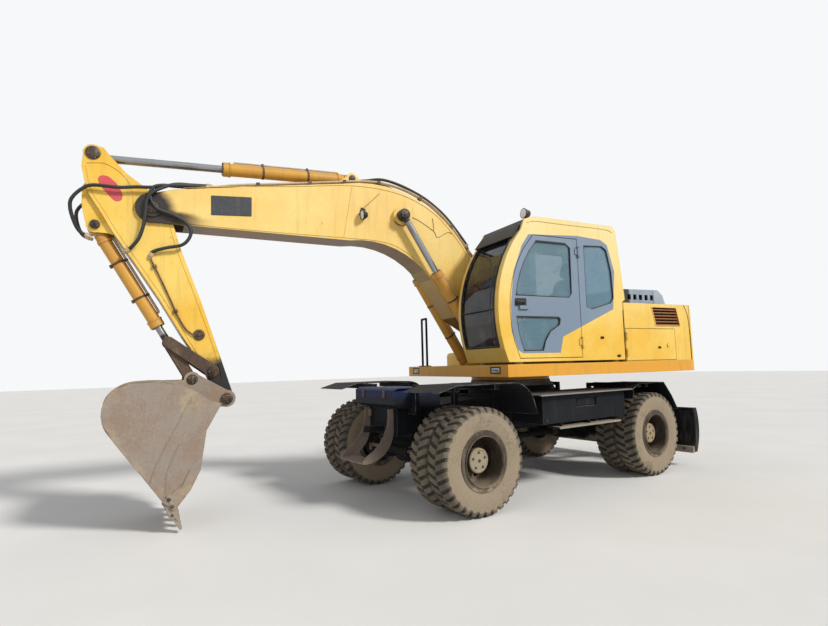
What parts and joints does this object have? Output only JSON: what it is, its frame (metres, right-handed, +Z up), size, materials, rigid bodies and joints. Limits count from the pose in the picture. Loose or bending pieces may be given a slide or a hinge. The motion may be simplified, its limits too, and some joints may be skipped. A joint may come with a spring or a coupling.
{
  "type": "wheeled excavator",
  "caption": "Wheeled excavator on twin tyres with a one-piece boom, an arm with a backhoe bucket, a side cab, a rear hood and a rear dozer blade.",
  "frame": {"origin": "on the ground, under the middle of the whole machine's box as it stands", "axes": "+X forward along the chassis, +Y to its left, +Z up"},
  "size_m": [7.3462, 2.8649, 3.7504],
  "materials": {
    "chassis_paint": "dusty black paint",
    "yellow_paint": "sun-faded yellow paint",
    "slate_paint": "matt blue-grey paint",
    "tyre": "dusty rubber",
    "rim_paint": "dusty beige paint",
    "bare_steel": "worn steel",
    "rod_chrome": "hard chrome",
    "cast_iron": "cast iron with rust",
    "glass": "tinted glass",
    "cab_trim": "dark trim",
    "lamp": "lamp glass",
    "blue_paint": "dark blue paint"
  },
  "bodies": {
    "chassis": {"chassis_frame": "chassis_paint", "slew_ring": "bare_steel", "front_axle": "chassis_paint", "rear_axle": "chassis_paint", "fenders": "chassis_paint", "side_boxes": "chassis_paint", "front_step": "chassis_paint", "front_toolbox": "blue_paint"},
    "blade": {"blade": "chassis_paint"},
    "blade_barrels": {"blade_barrels": "chassis_paint"},
    "blade_rods": {"blade_rods": "rod_chrome"},
    "knuckle_left": {"knuckle_left": "cast_iron"},
    "knuckle_right": {"knuckle_right": "cast_iron"},
    "steer_rod": {"steer_rod": "rod_chrome"},
    "wheels_front_left": {"tyres_front_left": "tyre", "rims_front_left": "rim_paint"},
    "wheels_front_right": {"tyres_front_right": "tyre", "rims_front_right": "rim_paint"},
    "wheels_rear_left": {"tyres_rear_left": "tyre", "rims_rear_left": "rim_paint"},
    "wheels_rear_right": {"tyres_rear_right": "tyre", "rims_rear_right": "rim_paint"},
    "upper": {"upper_frame": "yellow_paint", "counterweight": "yellow_paint", "engine_housing": "yellow_paint", "engine_block": "cast_iron", "tank_box": "yellow_paint", "handrails": "chassis_paint", "cab_shell": "yellow_paint", "cab_glass": "glass", "cab_interior": "cab_trim", "lamps": "lamp"},
    "hood_lid": {"hood_lid": "chassis_paint"},
    "side_door_left": {"side_door_left": "yellow_paint"},
    "side_door_right": {"side_door_right": "yellow_paint"},
    "cab_door": {"cab_door": "slate_paint", "door_glass": "glass"},
    "boom": {"boom": "yellow_paint", "boom_pipes": "bare_steel"},
    "boom_barrels": {"boom_barrels": "yellow_paint"},
    "boom_rods": {"boom_rods": "rod_chrome"},
    "arm": {"arm": "yellow_paint"},
    "arm_barrel": {"arm_barrel": "yellow_paint"},
    "arm_rod": {"arm_rod": "rod_chrome"},
    "bucket": {"bucket": "cast_iron"},
    "bucket_barrel": {"bucket_barrel": "yellow_paint"},
    "bucket_rod": {"bucket_rod": "rod_chrome"},
    "rocker": {"rocker": "cast_iron"},
    "link": {"link": "cast_iron"}
  },
  "joints": [
    {"name": "slew", "type": "hinge", "parent": "chassis", "child": "upper", "pos_m": [-1.234, -0.085, 1.245], "axis": [0, 0, 1], "continuous": true},
    {"name": "boom_lift", "type": "hinge", "parent": "upper", "child": "boom", "pos_m": [-1.15498, -0.09751, 1.72], "axis": [-0.1564, -0.9877, 0], "range_deg": [-37, 36]},
    {"name": "arm_swing", "type": "hinge", "parent": "boom", "child": "arm", "pos_m": [3.05709, -0.76464, 3.07608], "axis": [0.1564, 0.9877, 0], "range_deg": [-98, 10]},
    {"name": "bucket_curl", "type": "hinge", "parent": "arm", "child": "bucket", "pos_m": [2.35103, -0.65281, 1.17825], "axis": [0.1564, 0.9877, 0], "range_deg": [-10, 130]},
    {"name": "boom_barrels_tilt", "type": "hinge", "parent": "upper", "child": "boom_barrels", "pos_m": [-0.74016, -0.16322, 1.425], "axis": [-0.1564, -0.9877, 0], "range_deg": [-37.7, 36.68]},
    {"name": "boom_rods_slide", "type": "slide", "parent": "boom_barrels", "child": "boom_rods", "axis": [0.5223, -0.0827, 0.8488], "range_m": [-0.32238, 0.3137]},
    {"name": "arm_barrel_tilt", "type": "hinge", "parent": "boom", "child": "arm_barrel", "pos_m": [0.96416, -0.43315, 3.68455], "axis": [-0.1564, -0.9877, 0], "range_deg": [-0.053, 0.344]},
    {"name": "arm_rod_slide", "type": "slide", "parent": "arm_barrel", "child": "arm_rod", "axis": [0.9867, -0.1563, -0.0443], "range_m": [-1.10885, 0.11405]},
    {"name": "bucket_barrel_tilt", "type": "hinge", "parent": "arm", "child": "bucket_barrel", "pos_m": [3.5384, -0.84087, 2.87757], "axis": [-0.1564, -0.9877, 0], "range_deg": [-0.73, 9.21]},
    {"name": "bucket_rod_slide", "type": "slide", "parent": "bucket_barrel", "child": "bucket_rod", "axis": [-0.4995, 0.0791, -0.8627], "range_m": [-0.06187, 0.79228]},
    {"name": "rocker_turn", "type": "hinge", "parent": "arm", "child": "rocker", "pos_m": [2.48357, -0.67381, 1.4579], "axis": [0.1564, 0.9877, 0], "range_deg": [-8.27, 107.31]},
    {"name": "link_turn", "type": "hinge", "parent": "rocker", "child": "link", "pos_m": [2.8857, -0.7375, 1.75014], "axis": [0.1564, 0.9877, 0], "range_deg": [-76.69, 5.92]},
    {"name": "blade_lift", "type": "hinge", "parent": "chassis", "child": "blade", "pos_m": [-2.984, -0.085, 0.585], "axis": [0, -1, 0], "range_deg": [-14, 22]},
    {"name": "blade_barrels_tilt", "type": "hinge", "parent": "chassis", "child": "blade_barrels", "pos_m": [-3.094, -0.085, 0.93], "axis": [0, -1, 0], "range_deg": [-8.57, 13.46]},
    {"name": "blade_rods_slide", "type": "slide", "parent": "blade_barrels", "child": "blade_rods", "axis": [-0.5711, 0, -0.8209], "range_m": [-0.06906, 0.10795]},
    {"name": "steer_left", "type": "hinge", "parent": "chassis", "child": "knuckle_left", "pos_m": [0.391, 0.505, 0.52], "axis": [0, 0, 1], "range_deg": [-30, 30]},
    {"name": "steer_right", "type": "hinge", "parent": "chassis", "child": "knuckle_right", "pos_m": [0.391, -0.675, 0.52], "axis": [0, 0, 1], "range_deg": [-30.1, 30.1]},
    {"name": "steer_rod_slide", "type": "slide", "parent": "chassis", "child": "steer_rod", "axis": [0, 1, 0], "range_m": [-0.0979, 0.0979]},
    {"name": "wheel_front_left", "type": "hinge", "parent": "knuckle_left", "child": "wheels_front_left", "pos_m": [0.391, 0.885, 0.52], "axis": [0, 1, 0], "continuous": true},
    {"name": "wheel_rear_left", "type": "hinge", "parent": "chassis", "child": "wheels_rear_left", "pos_m": [-2.559, 0.885, 0.52], "axis": [0, 1, 0], "continuous": true},
    {"name": "wheel_front_right", "type": "hinge", "parent": "knuckle_right", "child": "wheels_front_right", "pos_m": [0.391, -1.055, 0.52], "axis": [0, 1, 0], "continuous": true},
    {"name": "wheel_rear_right", "type": "hinge", "parent": "chassis", "child": "wheels_rear_right", "pos_m": [-2.559, -1.055, 0.52], "axis": [0, 1, 0], "continuous": true},
    {"name": "cab_door_swing", "type": "hinge", "parent": "upper", "child": "cab_door", "pos_m": [-1.20331, 1.14433, 2.2], "axis": [0, 0, -1], "range_deg": [-150, 0]},
    {"name": "side_door_left_swing", "type": "hinge", "parent": "upper", "child": "side_door_left", "pos_m": [-1.89802, 1.25842, 1.65], "axis": [0, 0, -1], "range_deg": [0, 110]},
    {"name": "side_door_right_swing", "type": "hinge", "parent": "upper", "child": "side_door_right", "pos_m": [-2.28066, -1.15747, 1.65], "axis": [0, 0, 1], "range_deg": [0, 110]},
    {"name": "hood_lid_lift", "type": "hinge", "parent": "upper", "child": "hood_lid", "pos_m": [-2.35601, 0.09271, 2.181], "axis": [0.1564, 0.9877, 0], "range_deg": [0, 60]}
  ],
  "couplings": [
    {"joint": "boom_barrels_tilt", "follows": "boom_lift", "ratio": 0.99828},
    {"joint": "boom_rods_slide", "follows": "boom_lift", "m_per_rad": 0.48791},
    {"joint": "arm_barrel_tilt", "follows": "arm_swing", "ratio": -0.00324},
    {"joint": "arm_rod_slide", "follows": "arm_swing", "m_per_rad": 0.635},
    {"joint": "bucket_barrel_tilt", "follows": "bucket_curl", "ratio": 0.06932},
    {"joint": "bucket_rod_slide", "follows": "bucket_curl", "m_per_rad": 0.34191},
    {"joint": "rocker_turn", "follows": "bucket_curl", "ratio": 0.80915},
    {"joint": "link_turn", "follows": "bucket_curl", "ratio": -0.5782},
    {"joint": "blade_barrels_tilt", "follows": "blade_lift", "ratio": 0.59892},
    {"joint": "blade_rods_slide", "follows": "blade_lift", "m_per_rad": 0.27306},
    {"joint": "steer_right", "follows": "steer_left", "ratio": 1},
    {"joint": "steer_rod_slide", "follows": "steer_left", "m_per_rad": 0.18144}
  ]
}
